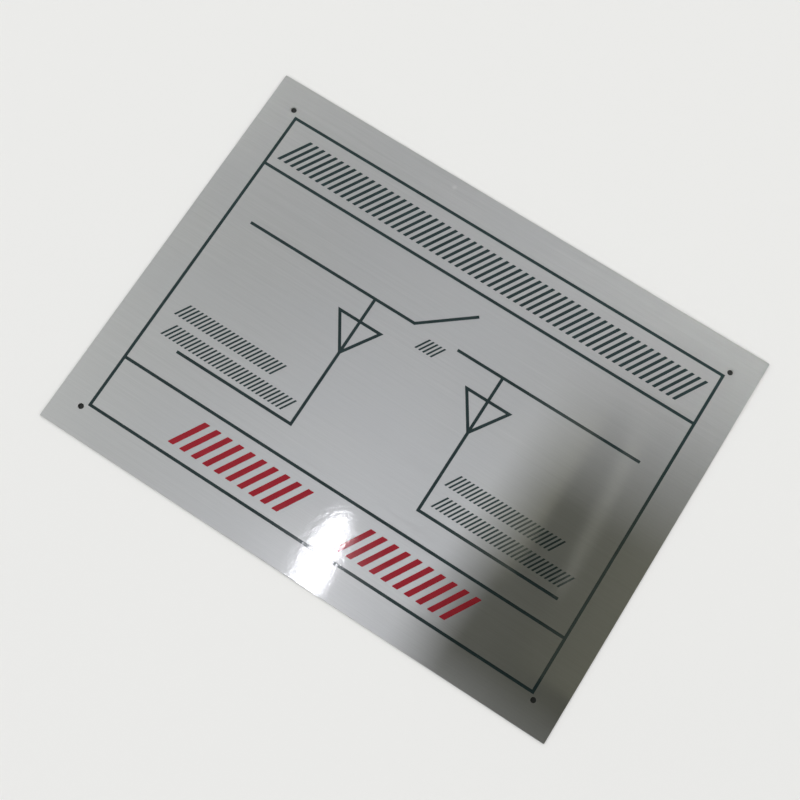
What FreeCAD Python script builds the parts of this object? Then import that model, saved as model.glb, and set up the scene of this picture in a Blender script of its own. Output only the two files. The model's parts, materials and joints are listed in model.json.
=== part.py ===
import FreeCAD, Part
import os

# Flat metal identification plate, cut from one sheet.
# Frame: origin at the centre of the back face, +X along the long side,
# +Y up the short side, +Z out of the front face.  Millimetres.

# ---- driving dimensions -------------------------------------------------
PLATE_LENGTH = 400.0      # long side, along X
PLATE_HEIGHT = 300.0      # short side, along Y
SHEET_THICKNESS = 1.0     # along Z
CORNER_RADIUS = 0.5       # the four corners are cut square and only just eased
EDGE_BREAK = 0.15         # deburred edge along the outline, front and back
HOLE_DIAMETER = 4.0       # fixing holes, through the sheet
HOLE_SPACING_X = 360.0    # hole to hole along the long side
HOLE_SPACING_Y = 260.0    # hole to hole along the short side
HOLE_BREAK = 0.12         # deburred rim of each hole, front and back

# ---- sheet blank --------------------------------------------------------
blank = Part.makeBox(
    PLATE_LENGTH, PLATE_HEIGHT, SHEET_THICKNESS,
    FreeCAD.Vector(-PLATE_LENGTH / 2, -PLATE_HEIGHT / 2, 0),
)
corner_edges = [
    e for e in blank.Edges
    if abs(e.Vertexes[0].Z - e.Vertexes[1].Z) > SHEET_THICKNESS / 2
]
blank = blank.makeFillet(CORNER_RADIUS, corner_edges)

# Eased outline: a narrow round on every outline edge of the front and back.
outline_edges = [
    e for e in blank.Edges
    if e.BoundBox.ZLength < 1e-6
    and (abs(e.BoundBox.ZMin) < 1e-6
         or abs(e.BoundBox.ZMin - SHEET_THICKNESS) < 1e-6)
]
blank = blank.makeFillet(EDGE_BREAK, outline_edges)

# ---- fixing holes, one near each corner ---------------------------------
radius = HOLE_DIAMETER / 2
plate = blank
for sx in (-1, 1):
    for sy in (-1, 1):
        x, y = sx * HOLE_SPACING_X / 2, sy * HOLE_SPACING_Y / 2
        plate = plate.cut(Part.makeCylinder(
            radius, SHEET_THICKNESS + 2.0,
            FreeCAD.Vector(x, y, -1.0), FreeCAD.Vector(0, 0, 1)))

# Deburred rims: a narrow chamfer round each hole, front and back.
rim_edges = [
    e for e in plate.Edges
    if isinstance(e.Curve, Part.Circle)
    and abs(e.Curve.Radius - radius) < 1e-6
]
plate = plate.makeChamfer(HOLE_BREAK, rim_edges)
plate = plate.Solids[0]

# ---- write --------------------------------------------------------------
os.makedirs("parts", exist_ok=True)
plate.exportStep("parts/plate.step")

box = plate.BoundBox
print("plate", "valid", plate.isValid(), "solids", len(plate.Solids),
      "faces", len(plate.Faces), "rims", len(rim_edges),
      "outline", len(outline_edges))
print("box", round(box.XLength, 4), round(box.YLength, 4), round(box.ZLength, 4),
      "z", round(box.ZMin, 4), round(box.ZMax, 4),
      "volume mm3", round(plate.Volume, 2))
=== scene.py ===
import json
import math

import bpy
from mathutils import Matrix, Vector
from mathutils.geometry import delaunay_2d_cdt

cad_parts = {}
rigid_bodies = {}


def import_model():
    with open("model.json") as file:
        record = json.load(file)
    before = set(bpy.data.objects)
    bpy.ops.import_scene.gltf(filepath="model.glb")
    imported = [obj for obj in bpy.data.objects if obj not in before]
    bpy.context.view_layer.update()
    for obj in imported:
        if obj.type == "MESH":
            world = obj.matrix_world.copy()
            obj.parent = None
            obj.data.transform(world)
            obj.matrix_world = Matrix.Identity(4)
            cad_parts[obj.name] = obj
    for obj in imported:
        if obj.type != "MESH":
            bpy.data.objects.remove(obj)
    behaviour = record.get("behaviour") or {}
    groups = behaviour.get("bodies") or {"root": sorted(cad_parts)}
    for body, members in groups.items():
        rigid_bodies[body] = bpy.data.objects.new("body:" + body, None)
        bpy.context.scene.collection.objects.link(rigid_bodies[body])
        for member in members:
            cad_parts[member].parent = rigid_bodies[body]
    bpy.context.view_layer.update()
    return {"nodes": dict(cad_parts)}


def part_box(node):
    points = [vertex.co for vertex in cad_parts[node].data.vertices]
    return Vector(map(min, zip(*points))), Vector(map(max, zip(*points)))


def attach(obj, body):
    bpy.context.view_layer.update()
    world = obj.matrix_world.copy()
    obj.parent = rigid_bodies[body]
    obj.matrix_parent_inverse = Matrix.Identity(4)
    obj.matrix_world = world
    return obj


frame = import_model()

scene = bpy.context.scene
scene.view_settings.view_transform = "Standard"
scene.view_settings.look = "None"
scene.view_settings.exposure = 0.0
scene.view_settings.gamma = 1.0

MM = 0.001
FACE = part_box("plate")[1].z / MM          # height of the front face, mm

# ---------------------------------------------------------------------------
# Small helpers for node trees
# ---------------------------------------------------------------------------


class Tree:
    """Short names for making shader nodes and joining them."""

    def __init__(self, tree):
        self.t = tree
        self.t.nodes.clear()

    def node(self, kind, **values):
        n = self.t.nodes.new(kind)
        for k, v in values.items():
            setattr(n, k, v)
        return n

    def put(self, socket, value):
        if isinstance(value, bpy.types.NodeSocket):
            self.t.links.new(value, socket)
        else:
            socket.default_value = value

    def math(self, op, a, b=None, c=None, clamp=False):
        n = self.node("ShaderNodeMath", operation=op, use_clamp=clamp)
        for s, v in zip(n.inputs, (a, b, c)):
            if v is not None:
                self.put(s, v)
        return n.outputs[0]

    def vmath(self, op, a, b=None):
        n = self.node("ShaderNodeVectorMath", operation=op)
        self.put(n.inputs[0], a)
        if b is not None:
            if op == "SCALE":
                self.put(n.inputs["Scale"], b)
            else:
                self.put(n.inputs[1], b)
        return n.outputs[0]

    def step(self, x, lo, hi, out_lo=0.0, out_hi=1.0):
        """Smooth step of x from lo to hi."""
        n = self.node("ShaderNodeMapRange", interpolation_type="SMOOTHSTEP")
        for s, v in zip(("Value", "From Min", "From Max", "To Min", "To Max"),
                        (x, lo, hi, out_lo, out_hi)):
            self.put(n.inputs[s], v)
        return n.outputs["Result"]

    def span(self, x, lo, hi, out_lo, out_hi):
        """Linear map of x, held at its ends."""
        n = self.node("ShaderNodeMapRange", clamp=True)
        for s, v in zip(("Value", "From Min", "From Max", "To Min", "To Max"),
                        (x, lo, hi, out_lo, out_hi)):
            self.put(n.inputs[s], v)
        return n.outputs["Result"]

    def mix(self, fac, a, b):
        n = self.node("ShaderNodeMix", data_type="RGBA")
        self.put(n.inputs[0], fac)
        self.put(n.inputs[6], a)
        self.put(n.inputs[7], b)
        return n.outputs[2]

    def blend(self, fac, a, b):
        n = self.node("ShaderNodeMix", data_type="FLOAT")
        self.put(n.inputs[0], fac)
        self.put(n.inputs[2], a)
        self.put(n.inputs[3], b)
        return n.outputs[0]

    def noise(self, vector, scale=1.0, detail=2.0, rough=0.5, dims="3D"):
        n = self.node("ShaderNodeTexNoise", noise_dimensions=dims)
        self.put(n.inputs["Vector"], vector)
        n.inputs["Scale"].default_value = scale
        n.inputs["Detail"].default_value = detail
        n.inputs["Roughness"].default_value = rough
        return n.outputs["Fac"]

    def xyz(self, vector):
        n = self.node("ShaderNodeSeparateXYZ")
        self.put(n.inputs[0], vector)
        return n.outputs

    def vec(self, x, y, z):
        n = self.node("ShaderNodeCombineXYZ")
        for s, v in zip(n.inputs, (x, y, z)):
            self.put(s, v)
        return n.outputs[0]


def rgb(r, g, b):
    return (r, g, b, 1.0)


def place_mm(t):
    """Object coordinates in millimetres, in the plate's own frame."""
    tc = t.node("ShaderNodeTexCoord")
    return t.vmath("SCALE", tc.outputs["Object"], 1000.0)


def clear_coat(t, shader, p, weight=1.0):
    """Thin glossy clear coat with a fine orange-peel ripple, the same over metal and ink."""
    peel = t.math("ADD", t.noise(p, 0.45, 0.0, 0.5),
                  t.math("MULTIPLY", t.noise(p, 1.2, 0.0, 0.5), 0.45))
    bump = t.node("ShaderNodeBump")
    bump.inputs["Strength"].default_value = 1.0
    bump.inputs["Distance"].default_value = 0.0000085
    t.put(bump.inputs["Height"], peel)
    t.put(shader.inputs["Coat Weight"], weight)
    shader.inputs["Coat Roughness"].default_value = 0.038
    shader.inputs["Coat IOR"].default_value = 1.5
    t.put(shader.inputs["Coat Normal"], bump.outputs["Normal"])


# ---------------------------------------------------------------------------
# Materials
# ---------------------------------------------------------------------------


def make_steel():
    """Hairline-brushed sheet, grain along X, clear-coated on the front, plain on the back."""
    m = bpy.data.materials.new("brushed_steel")
    m.use_nodes = True
    t = Tree(m.node_tree)
    p = place_mm(t)
    geo = t.node("ShaderNodeNewGeometry")
    nz = t.xyz(geo.outputs["Normal"])[2]
    x, y, z = t.xyz(p)

    # grain: long hairlines along X, in three widths
    coarse = t.noise(t.vec(t.math("MULTIPLY", x, 0.010), t.math("MULTIPLY", y, 0.55), 0.0), 1.0, 3.0, 0.6)
    medium = t.noise(t.vec(t.math("MULTIPLY", x, 0.022), t.math("MULTIPLY", y, 1.7), 3.7), 1.0, 3.0, 0.6)
    fine = t.noise(t.vec(t.math("MULTIPLY", x, 0.06), t.math("MULTIPLY", y, 5.2), 9.1), 1.0, 2.0, 0.6)
    cloud = t.noise(t.vec(t.math("MULTIPLY", x, 0.012), t.math("MULTIPLY", y, 0.02), 5.0), 1.0, 2.0, 0.5)

    grain = t.math("ADD", t.math("MULTIPLY", coarse, 0.3),
                   t.math("ADD", t.math("MULTIPLY", medium, 0.4), t.math("MULTIPLY", fine, 0.3)))
    grain_n = t.span(grain, 0.36, 0.64, 0.0, 1.0)

    tone = t.mix(grain_n, rgb(0.562, 0.572, 0.570), rgb(0.642, 0.650, 0.650))
    tone = t.mix(t.span(cloud, 0.35, 0.65, 0.0, 0.35), tone, rgb(0.587, 0.600, 0.610))
    rough = t.math("ADD", t.math("MULTIPLY", grain_n, 0.06), 0.48)

    # small paler spot near the middle of the top edge, a lighter tone mixed into the steel's colour
    sx, sy = t.math("ADD", x, 51.3), t.math("SUBTRACT", y, 142.5)
    far = t.math("SQRT", t.math("ADD", t.math("MULTIPLY", sx, sx), t.math("MULTIPLY", sy, sy)))
    far = t.math("ADD", far, t.math("MULTIPLY", t.noise(p, 0.7, 2.0, 0.5), 1.6))
    pale_spot = t.step(far, 3.2, 1.2)
    tone = t.mix(t.math("MULTIPLY", pale_spot, 0.45), tone, rgb(0.80, 0.80, 0.79))

    # the back is plain rolled metal, cloudy and with hardly any grain
    front = t.step(nz, 0.55, 0.95)
    back = t.step(nz, -0.55, -0.95)
    mottle = t.noise(p, 0.05, 4.0, 0.6)
    rolled = t.noise(t.vec(t.math("MULTIPLY", x, 0.004), t.math("MULTIPLY", y, 0.9), 2.0), 1.0, 3.0, 0.6)
    dull = t.math("ADD", t.math("MULTIPLY", mottle, 0.7), t.math("MULTIPLY", rolled, 0.3))
    tone = t.mix(back, tone, t.mix(t.span(dull, 0.38, 0.62, 0.0, 1.0), rgb(0.50, 0.505, 0.50), rgb(0.565, 0.57, 0.565)))
    rough = t.blend(back, rough, t.span(dull, 0.38, 0.62, 0.42, 0.50))

    # the sheared edge is bright, with short marks across its thickness
    edge = t.math("SUBTRACT", 1.0, t.math("ADD", front, back), clamp=True)
    marks = t.noise(t.vec(t.math("MULTIPLY", x, 3.0), t.math("MULTIPLY", y, 3.0), t.math("MULTIPLY", z, 0.4)), 1.0, 2.0, 0.6)
    tone = t.mix(edge, tone, t.mix(t.span(marks, 0.35, 0.65, 0.0, 1.0), rgb(0.60, 0.60, 0.595), rgb(0.73, 0.73, 0.72)))
    rough = t.blend(edge, rough, t.span(marks, 0.35, 0.65, 0.34, 0.46))

    bump = t.node("ShaderNodeBump")
    bump.inputs["Strength"].default_value = 1.0
    bump.inputs["Distance"].default_value = 0.0000012
    hair = t.math("ADD", medium, t.math("MULTIPLY", fine, 0.5))
    t.put(bump.inputs["Height"], t.blend(front, t.math("MULTIPLY", rolled, 0.6), hair))

    s = t.node("ShaderNodeBsdfPrincipled")
    t.put(s.inputs["Base Color"], tone)
    s.inputs["Metallic"].default_value = 1.0
    t.put(s.inputs["Roughness"], rough)
    s.inputs["Anisotropic"].default_value = 0.5
    t.put(s.inputs["Tangent"], t.vec(0.0, 1.0, 0.0))
    t.put(s.inputs["Normal"], bump.outputs["Normal"])
    clear_coat(t, s, p, front)

    out = t.node("ShaderNodeOutputMaterial")
    t.put(out.inputs["Surface"], s.outputs[0])
    return m


def make_ink(name, deep, light, roughness):
    """Printed ink: a thin opaque film, slightly uneven, under the same clear coat."""
    m = bpy.data.materials.new(name)
    m.use_nodes = True
    t = Tree(m.node_tree)
    p = place_mm(t)
    patch = t.noise(p, 0.09, 3.0, 0.55)
    speck = t.noise(p, 2.6, 2.0, 0.6)
    k = t.math("ADD", t.math("MULTIPLY", patch, 0.65), t.math("MULTIPLY", speck, 0.35))
    tone = t.mix(t.span(k, 0.34, 0.66, 0.0, 1.0), deep, light)
    s = t.node("ShaderNodeBsdfPrincipled")
    t.put(s.inputs["Base Color"], tone)
    s.inputs["Metallic"].default_value = 0.0
    t.put(s.inputs["Roughness"], t.span(speck, 0.3, 0.7, roughness - 0.06, roughness + 0.06))
    s.inputs["Specular IOR Level"].default_value = 0.15
    clear_coat(t, s, p)
    out = t.node("ShaderNodeOutputMaterial")
    t.put(out.inputs["Surface"], s.outputs[0])
    return m


steel = make_steel()
dark_ink = make_ink("dark_ink", rgb(0.031, 0.056, 0.060), rgb(0.042, 0.076, 0.080), 0.5)
red_ink = make_ink("red_ink", rgb(0.57, 0.020, 0.040), rgb(0.68, 0.031, 0.055), 0.5)

plate = frame["nodes"]["plate"]
for slot in plate.material_slots:
    slot.material = steel

# ---------------------------------------------------------------------------
# Print: flat outlines in millimetres from the plate's top left corner
# ---------------------------------------------------------------------------

LINE = 2.2                # width of the ruled lines
FILM = 0.08               # height of the ink above the face
SOFT = 0.05               # rounded shoulder of the ink film


def at(x, y):
    return (x - 200.0, 150.0 - y)


def bar(x0, y0, x1, y1, r=0.25, seg=3):
    """Rectangle with slightly rounded corners."""
    x0, x1 = sorted((x0, x1))
    y0, y1 = sorted((y0, y1))
    r = min(r, (x1 - x0) * 0.45, (y1 - y0) * 0.45)
    pts = []
    for cx, cy, a0 in ((x1 - r, y0 + r, -90), (x1 - r, y1 - r, 0),
                       (x0 + r, y1 - r, 90), (x0 + r, y0 + r, 180)):
        for i in range(seg + 1):
            a = math.radians(a0 + 90.0 * i / seg)
            pts.append((cx + r * math.cos(a), cy + r * math.sin(a)))
    return [at(*p) for p in pts]


def hline(x0, x1, y, w=LINE):
    return bar(x0, y - w / 2, x1, y + w / 2)


def stroke(a, b, w=LINE):
    """Straight line from a to b with square ends."""
    a, b = Vector(a), Vector(b)
    d = (b - a).normalized()
    n = Vector((-d.y, d.x)) * w / 2
    return [at(*p) for p in (a + n, a - n, b - n, b + n)]


def triangle(p, q, r, w=LINE):
    """The three mitred sides of an outlined triangle, centred on its sides."""
    pts = [Vector(p), Vector(q), Vector(r)]
    c = (pts[0] + pts[1] + pts[2]) / 3
    rings = []
    for off in (w / 2, -w / 2):
        lines = []
        for i in range(3):
            a, b = pts[i], pts[(i + 1) % 3]
            d = (b - a).normalized()
            n = Vector((-d.y, d.x))
            if n.dot(a - c) < 0:
                n = -n
            lines.append((a + n * off, d))
        ring = []
        for i in range(3):
            (a, d), (b, e) = lines[i - 1], lines[i]
            s = ((b.x - a.x) * e.y - (b.y - a.y) * e.x) / (d.x * e.y - d.y * e.x)
            ring.append(a + d * s)
        rings.append(ring)
    out, inn = rings
    return [[at(*v) for v in (out[i], out[(i + 1) % 3], inn[(i + 1) % 3], inn[i])] for i in range(3)]


def frame_sides(x0, y0, x1, y1, w=LINE):
    """The four mitred sides of an outlined rectangle, centred on its sides."""
    h = w / 2
    out = [(x0 - h, y0 - h), (x1 + h, y0 - h), (x1 + h, y1 + h), (x0 - h, y1 + h)]
    inn = [(x0 + h, y0 + h), (x1 - h, y0 + h), (x1 - h, y1 - h), (x0 + h, y1 - h)]
    return [[at(*v) for v in (out[i], out[(i + 1) % 4], inn[(i + 1) % 4], inn[i])] for i in range(4)]


def elbow(x, y0, y1, x_end, w=LINE):
    """Line down from y0 to y1 and then level to x_end, with a square corner."""
    h = w / 2
    s = h if x_end > x else -h
    return [at(*v) for v in ((x - s, y0), (x + s, y0), (x + s, y1 - h), (x_end, y1 - h), (x_end, y1 + h), (x - s, y1 + h))]


def ink_piece(name, outlines, material):
    """One closed film of ink: the outlines are merged, given a soft shoulder, and closed underneath."""
    verts, faces = [], []
    for o in outlines:
        area = sum(o[i - 1][0] * o[i][1] - o[i][0] * o[i - 1][1] for i in range(len(o)))
        o = o if area > 0 else o[::-1]
        faces.append(list(range(len(verts), len(verts) + len(o))))
        verts += [Vector(p) for p in o]
    got = delaunay_2d_cdt(verts, [], faces, 1, 1e-4)
    pts, tris, owners = got[0], got[2], got[5]

    flat, rim = [], {}
    for f, own in zip(tris, owners):
        if not own:
            continue
        a = sum(pts[f[k - 1]].x * pts[f[k]].y - pts[f[k]].x * pts[f[k - 1]].y for k in range(3))
        f = f if a > 0 else f[::-1]
        flat.append(f)
        for k in range(3):
            rim[(f[k], f[(k + 1) % 3])] = True
    rim = [e for e in rim if (e[1], e[0]) not in rim]      # outline edges, ink on their left
    ahead = {a: b for a, b in rim}
    behind = {b: a for a, b in rim}
    inner = {}
    for i in {k for f in flat for k in f}:
        p = Vector(pts[i])
        if i in ahead and i in behind:
            d0, d1 = (p - pts[behind[i]]).normalized(), (Vector(pts[ahead[i]]) - p).normalized()
            n0, n1 = Vector((-d0.y, d0.x)), Vector((-d1.y, d1.x))
            m = n0 + n1
            p = p + m * (SOFT / max(m.dot(n0), 0.3))
        inner[i] = p

    z_foot, z_mid, z_top = FACE - 0.01, FACE + FILM - SOFT * 0.7, FACE + FILM
    co, low, mid, top = [], {}, {}, {}

    def add(store, i, p, z):
        store[i] = len(co)
        co.append((p.x * MM, p.y * MM, z * MM))

    for i in sorted(inner):
        add(low, i, Vector(pts[i]), z_foot)
        add(top, i, inner[i], z_top)
        if i in ahead:
            add(mid, i, Vector(pts[i]), z_mid)
    polys = [[top[i] for i in f] for f in flat] + [[low[i] for i in f[::-1]] for f in flat]
    for a, b in rim:
        polys.append([mid[a], mid[b], top[b], top[a]])
        polys.append([low[a], low[b], mid[b], mid[a]])
    me = bpy.data.meshes.new(name)
    me.from_pydata(co, [], polys)
    me.validate()
    me.materials.append(material)
    o = bpy.data.objects.new(name, me)
    scene.collection.objects.link(o)
    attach(o, "root")
    inks.append(o)
    return o


inks = []

# border, with a rule under the heading and one over the foot
LEFT, RIGHT, TOP, BOTTOM = 24.65, 377.0, 24.65, 275.9
HEAD, FOOT = 64.85, 235.4
border = frame_sides(LEFT, TOP, RIGHT, BOTTOM) + [hline(LEFT, RIGHT, HEAD), hline(LEFT, RIGHT, FOOT)]
ink_piece("ink_border", border, dark_ink)

# single-line diagram: two bars, an open switch between them, and two branches
left = [
    hline(42.2, 179.2, 107.7), stroke((178.4, 108.2), (214.3, 79.6)),
    elbow(146.7, 107.7, 213.25, 52.6),
] + triangle((130.1, 127.2), (163.4, 127.2), (146.75, 153.2))
right = [
    hline(214.2, 359.4, 107.85), elbow(250.9, 107.85, 216.05, 360.0),
] + triangle((233.8, 127.3), (267.9, 127.3), (250.85, 153.2))
ink_piece("ink_diagram_left", left, dark_ink)
ink_piece("ink_diagram_right", right, dark_ink)

# Plain slanted stripes that fill the heading, note and foot rows.  All bars of
# a row are alike and lean to the right.
LEAN = math.tan(math.radians(30))


def rounded(poly, r, seg=3):
    """Convex outline with its corners rounded to about r."""
    out = []
    for i in range(len(poly)):
        a, p, b = poly[i - 1], poly[i], poly[(i + 1) % len(poly)]
        u, v = (a - p).normalized(), (b - p).normalized()
        half = math.acos(max(-1.0, min(1.0, u.dot(v)))) / 2
        t = min(r / math.tan(half), 0.42 * (a - p).length, 0.42 * (b - p).length)
        for k in range(seg + 1):
            f = k / seg
            out.append(p + u * (t * (1 - f) ** 2) + v * (t * f ** 2))
    return out


def stripes(x0, x1, y0, y1, count, share, r):
    """Row of slanted bars from x0 to x1; share is the part of each step that is ink."""
    over = (y1 - y0) * LEAN
    step = (x1 - x0 - over) / (count - 1 + share)
    w = step * share
    out = []
    for i in range(count):
        a = x0 + i * step
        poly = [Vector(p) for p in ((a, y1), (a + w, y1), (a + w + over, y0), (a + over, y0))]
        out.append([at(*p) for p in rounded(poly, r)])
    return out


ink_piece("ink_heading_stripes", stripes(30.4, 371.0, 34.2, 57.4, 62, 0.47, 0.3), dark_ink)
ink_piece("ink_note_stripes_left",
          stripes(35.2, 122.1, 180.7, 192.0, 25, 0.46, 0.2) + stripes(35.4, 141.6, 197.6, 208.7, 31, 0.46, 0.2),
          dark_ink)
ink_piece("ink_note_stripes_right",
          stripes(256.4, 345.3, 180.8, 192.3, 26, 0.46, 0.2) + stripes(256.4, 362.7, 198.1, 209.4, 31, 0.46, 0.2),
          dark_ink)
ink_piece("ink_switch_stripes", stripes(187.9, 207.7, 111.9, 122.2, 5, 0.48, 0.2), dark_ink)
ink_piece("ink_foot_stripes",
          stripes(83.2, 186.2, 243.7, 268.1, 10, 0.49, 0.45) + stripes(217.4, 318.4, 243.7, 268.1, 10, 0.49, 0.45),
          red_ink)

# ---------------------------------------------------------------------------
# Stage: pale floor, soft light, camera
# ---------------------------------------------------------------------------


def flat_plane(name, half_x, half_y, z, material):
    me = bpy.data.meshes.new(name)
    me.from_pydata([(-half_x, -half_y, z), (half_x, -half_y, z), (half_x, half_y, z), (-half_x, half_y, z)],
                   [], [(0, 1, 2, 3)])
    me.materials.append(material)
    o = bpy.data.objects.new(name, me)
    scene.collection.objects.link(o)
    return o


def plain(name, colour, roughness):
    m = bpy.data.materials.new(name)
    m.use_nodes = True
    s = m.node_tree.nodes["Principled BSDF"]
    s.inputs["Base Color"].default_value = colour
    s.inputs["Roughness"].default_value = roughness
    s.inputs["Specular IOR Level"].default_value = 0.2
    return m


floor = flat_plane("floor", 30.0, 30.0, -0.0002, plain("floor_pale", rgb(0.90, 0.90, 0.895), 0.8))
# dark underlay, smaller than the plate, so that only its holes show it
underlay = flat_plane("underlay", 0.192, 0.142, -0.0001, plain("underlay_dark", rgb(0.065, 0.067, 0.066), 0.9))

world = bpy.data.worlds.new("soft_studio")
scene.world = world
world.use_nodes = True
w = Tree(world.node_tree)
dx, dy, dz = w.xyz(w.node("ShaderNodeTexCoord").outputs["Generated"])
# dim overhead, with pale walls all round
walls = w.step(dz, 0.38, 0.06)
sky = w.mix(walls, rgb(0.034, 0.034, 0.026), rgb(0.78, 0.775, 0.735))
bg = w.node("ShaderNodeBackground")
w.put(bg.inputs["Color"], sky)
bg.inputs["Strength"].default_value = 1.0
wo = w.node("ShaderNodeOutputWorld")
w.put(wo.inputs["Surface"], bg.outputs[0])


def lamp(name, shape, size, size_y, radiance, colour, place, aim, turn=0.0, spread=180.0):
    """Area light of a given radiance, facing the point it is aimed at; a small spread is a gridded soft box."""
    data = bpy.data.lights.new(name, "AREA")
    data.shape = shape
    data.size, data.size_y = size, size_y
    data.spread = math.radians(spread)
    area = size * size_y * (math.pi / 4 if shape == "ELLIPSE" else 1.0)
    data.energy = radiance * math.pi * area
    data.color = colour
    o = bpy.data.objects.new(name, data)
    scene.collection.objects.link(o)
    way = Vector(aim) - Vector(place)
    q = way.to_track_quat("-Z", "Y")
    o.matrix_world = Matrix.Translation(place) @ q.to_matrix().to_4x4() @ Matrix.Rotation(turn, 4, "Z")
    o.visible_camera = False
    return o


EYE = Vector((0.103905, -0.181700, 0.848114))         # camera, above the front face
COOL, EVEN = (0.985, 0.99, 1.05), (0.985, 0.99, 0.95)
DOWN = Vector((0, 0, 1))


def mirrored(x, y, z):
    """Place at height z that the camera sees mirrored at a point of the face (mm)."""
    return Vector(((x * MM * (z + EYE.z) - EYE.x * z) / EYE.z, (y * MM * (z + EYE.z) - EYE.y * z) / EYE.z, z))


# overhead lamp with its paler surround, mirrored near the middle of the lower edge
OVER, ROUND = mirrored(14.5, -132.7, 4.0), mirrored(12.5, -132.0, 4.0)
lamp("overhead_lamp", "ELLIPSE", 0.105, 0.425, 28.0, COOL, OVER, OVER - DOWN, math.radians(3.8))
lamp("lamp_surround", "ELLIPSE", 0.155, 0.46, 6.5, COOL, ROUND, ROUND - DOWN, math.radians(3.8))
# key light, mirrored just below the lower edge
KEY = mirrored(45.0, -205.0, 4.0)
lamp("key_softbox", "RECTANGLE", 0.14, 0.33, 158.5, COOL, KEY, KEY - DOWN)
# two soft boxes to the left, and three gridded ones beyond the top edge
lamp("left_softbox", "RECTANGLE", 0.6, 0.6, 2.4, EVEN, (-1.62, 0.135, 2.155), (0, 0, 0))
lamp("left_softbox_low", "RECTANGLE", 0.6, 0.6, 10.5, EVEN, (-1.62, -0.5, 2.0), (0, 0, 0))
lamp("top_softbox", "RECTANGLE", 1.4, 0.4, 0.052, EVEN, mirrored(60, 250, 2.4), (0.0, 0.35, 0), 0.0, 6.0)
lamp("top_softbox_right", "RECTANGLE", 0.6, 0.4, 0.220, EVEN, mirrored(300, 250, 2.4), (0.42, 0.33, 0), 0.0, 8.0)
lamp("top_softbox_left", "RECTANGLE", 0.6, 0.4, 0.080, EVEN, mirrored(-280, 230, 2.4), (-0.36, 0.33, 0), 0.0, 8.0)
# slim pale strip, mirrored faintly on the shaded side
SLIM = mirrored(154, 5, 2.3)
lamp("slim_strip", "ELLIPSE", 0.036, 0.52, 1.15, (1.0, 1.0, 0.90), SLIM, SLIM - DOWN, math.radians(4.5))


def edge_glow(t, u, v):
    """Bright along the right edge, fading out on the other three sides."""
    return t.math("MULTIPLY", u, t.math("MULTIPLY", t.step(v, 0.0, 0.25), t.step(v, 1.0, 0.58)))


def soft_ridge(t, u, v):
    """Rising from the left, and fading out again on the right and at both ends."""
    across = t.math("MULTIPLY", t.span(u, 0.0, 0.54, 0.0, 1.0), t.step(u, 1.0, 0.5))
    return t.math("MULTIPLY", across, t.math("MULTIPLY", t.step(v, 0.0, 0.25), t.step(v, 1.0, 0.66)))


def round_glow(t, u, v):
    """Bright in the middle, fading out all round."""
    u, v = t.span(u, 0.0, 1.0, -1.0, 1.0), t.span(v, 0.0, 1.0, -1.0, 1.0)
    return t.step(t.math("SQRT", t.math("ADD", t.math("MULTIPLY", u, u), t.math("MULTIPLY", v, v))), 1.0, 0.0)


def pale_card(name, x0, x1, y0, y1, z, radiance, colour, shade=edge_glow):
    """Card that glows softly as a light of its own, mirrored on the face between the given limits (mm)."""
    a, b = mirrored(x0, y0, z), mirrored(x1, y1, z)
    mesh = bpy.data.meshes.new(name)
    mesh.from_pydata([(a.x, a.y, z), (a.x, b.y, z), (b.x, b.y, z), (b.x, a.y, z)], [], [(0, 1, 2, 3)])
    m = bpy.data.materials.new(name + "_glow")
    m.use_nodes = True
    t = Tree(m.node_tree)
    cx, cy, cz = t.xyz(t.node("ShaderNodeTexCoord").outputs["Object"])
    glow = shade(t, t.span(cx, a.x, b.x, 0.0, 1.0), t.span(cy, a.y, b.y, 0.0, 1.0))
    e = t.node("ShaderNodeEmission")
    e.inputs["Color"].default_value = rgb(*colour)
    t.put(e.inputs["Strength"], t.math("MULTIPLY", glow, radiance))
    out = t.node("ShaderNodeOutputMaterial")
    t.put(out.inputs["Surface"], e.outputs[0])
    mesh.materials.append(m)
    o = bpy.data.objects.new(name, mesh)
    scene.collection.objects.link(o)
    o.visible_camera = False
    return o


pale_card("card_left_of_shade", 62, 126, -90, 95, 2.4, 1.45, (1.0, 1.0, 0.82))
pale_card("card_right_of_shade", 148, 300, -290, 100, 2.4, 1.1, (1.0, 0.99, 0.70), soft_ridge)
pale_card("card_behind_lamp", -52, 80, -215, -88, 4.1, 2.2, (0.99, 0.99, 1.04), round_glow)

# dark flags above the camera, which keep the light off the lower right of the plate: one for the
# key light and the soft boxes, one for the overhead lamp and its surround
FLAG_Z = 0.95


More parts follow.
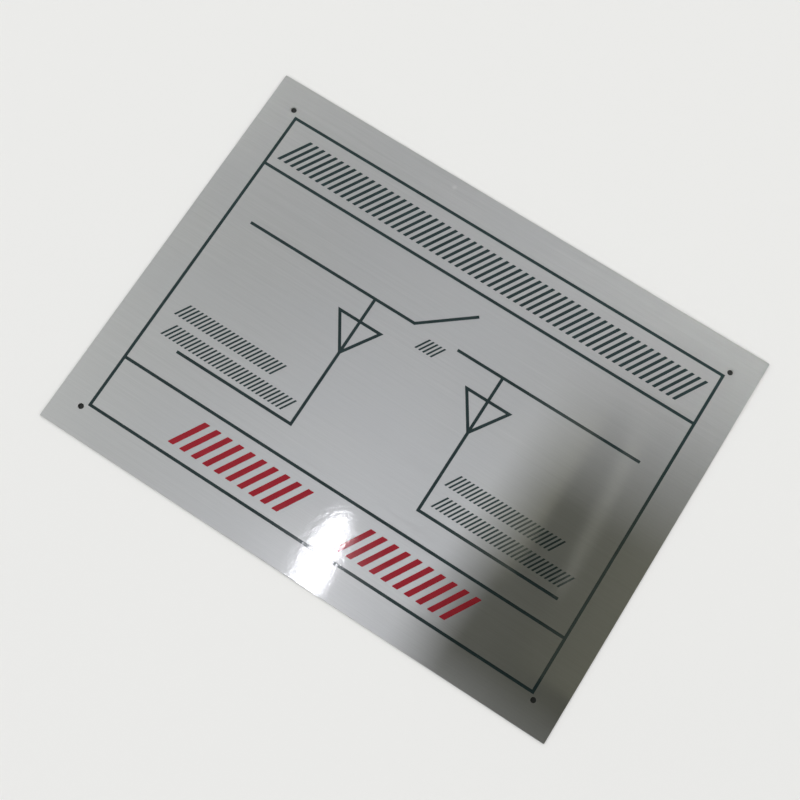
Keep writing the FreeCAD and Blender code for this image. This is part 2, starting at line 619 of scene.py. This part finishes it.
def dark_flag(name, light):
    """Flag whose edge stops the light's centre ray along the edge of the shade on the plate."""
    f = FLAG_Z / light.z
    (ax, ay), (bx, by) = [(x * MM * (1 - f) + light.x * f, y * MM * (1 - f) + light.y * f)
                          for x, y in ((106, 41), (95, -178))]
    mesh = bpy.data.meshes.new(name)
    mesh.from_pydata([(ax, ay, FLAG_Z), (bx, by, FLAG_Z), (0.9, by, FLAG_Z), (0.9, ay, FLAG_Z)], [], [(0, 1, 2, 3)])
    mesh.materials.append(plain(name + "_dark", rgb(0.008, 0.008, 0.007), 0.9))
    o = bpy.data.objects.new(name, mesh)
    scene.collection.objects.link(o)
    o.visible_camera = False
    return o


flag = dark_flag("flag", KEY)
lamp_flag = dark_flag("lamp_flag", OVER)
lamp_flag.visible_glossy = lamp_flag.visible_diffuse = False


def group(name, objects):
    c = bpy.data.collections.new(name)
    for o in objects:
        c.objects.link(o)
    return c


# the lamps so far light the plate alone, and a backdrop light the floor alone, so that it stays even
only_plate = group("lit_by_lamps", [plate, underlay] + inks)
by_flag = group("shades_lamps", [plate, flag])
by_both = group("shades_overhead_lamp", [plate, flag, lamp_flag])
for o in scene.objects:
    if o.type == "LIGHT":
        o.light_linking.receiver_collection = only_plate
        o.light_linking.blocker_collection = by_both if o.name in ("overhead_lamp", "lamp_surround") else by_flag
floor_light = lamp("floor_light", "RECTANGLE", 60.0, 60.0, 0.95, (1.0, 1.0, 1.0), (0, 0, 10.0), (0, 0, 0))
floor_light.light_linking.receiver_collection = group("lit_by_floor_light", [floor])
floor_light.light_linking.blocker_collection = group("shades_floor_light", [plate])

cam_data = bpy.data.cameras.new("camera")
cam_data.sensor_width = 36.0
cam_data.lens = 57.5663
cam = bpy.data.objects.new("camera", cam_data)
scene.collection.objects.link(cam)
r_ax, u_ax, b_ax = (Vector((0.841528, 0.540170, 0.006856)), Vector((-0.526890, 0.817906, 0.231121)),
                    Vector((0.119237, -0.198107, 0.972901)))
place = Matrix.Identity(4)
for i in range(3):
    place[i][0], place[i][1], place[i][2] = r_ax[i], u_ax[i], b_ax[i]
place.translation = EYE + Vector((0, 0, FACE * MM))
cam.matrix_world = place
scene.camera = cam
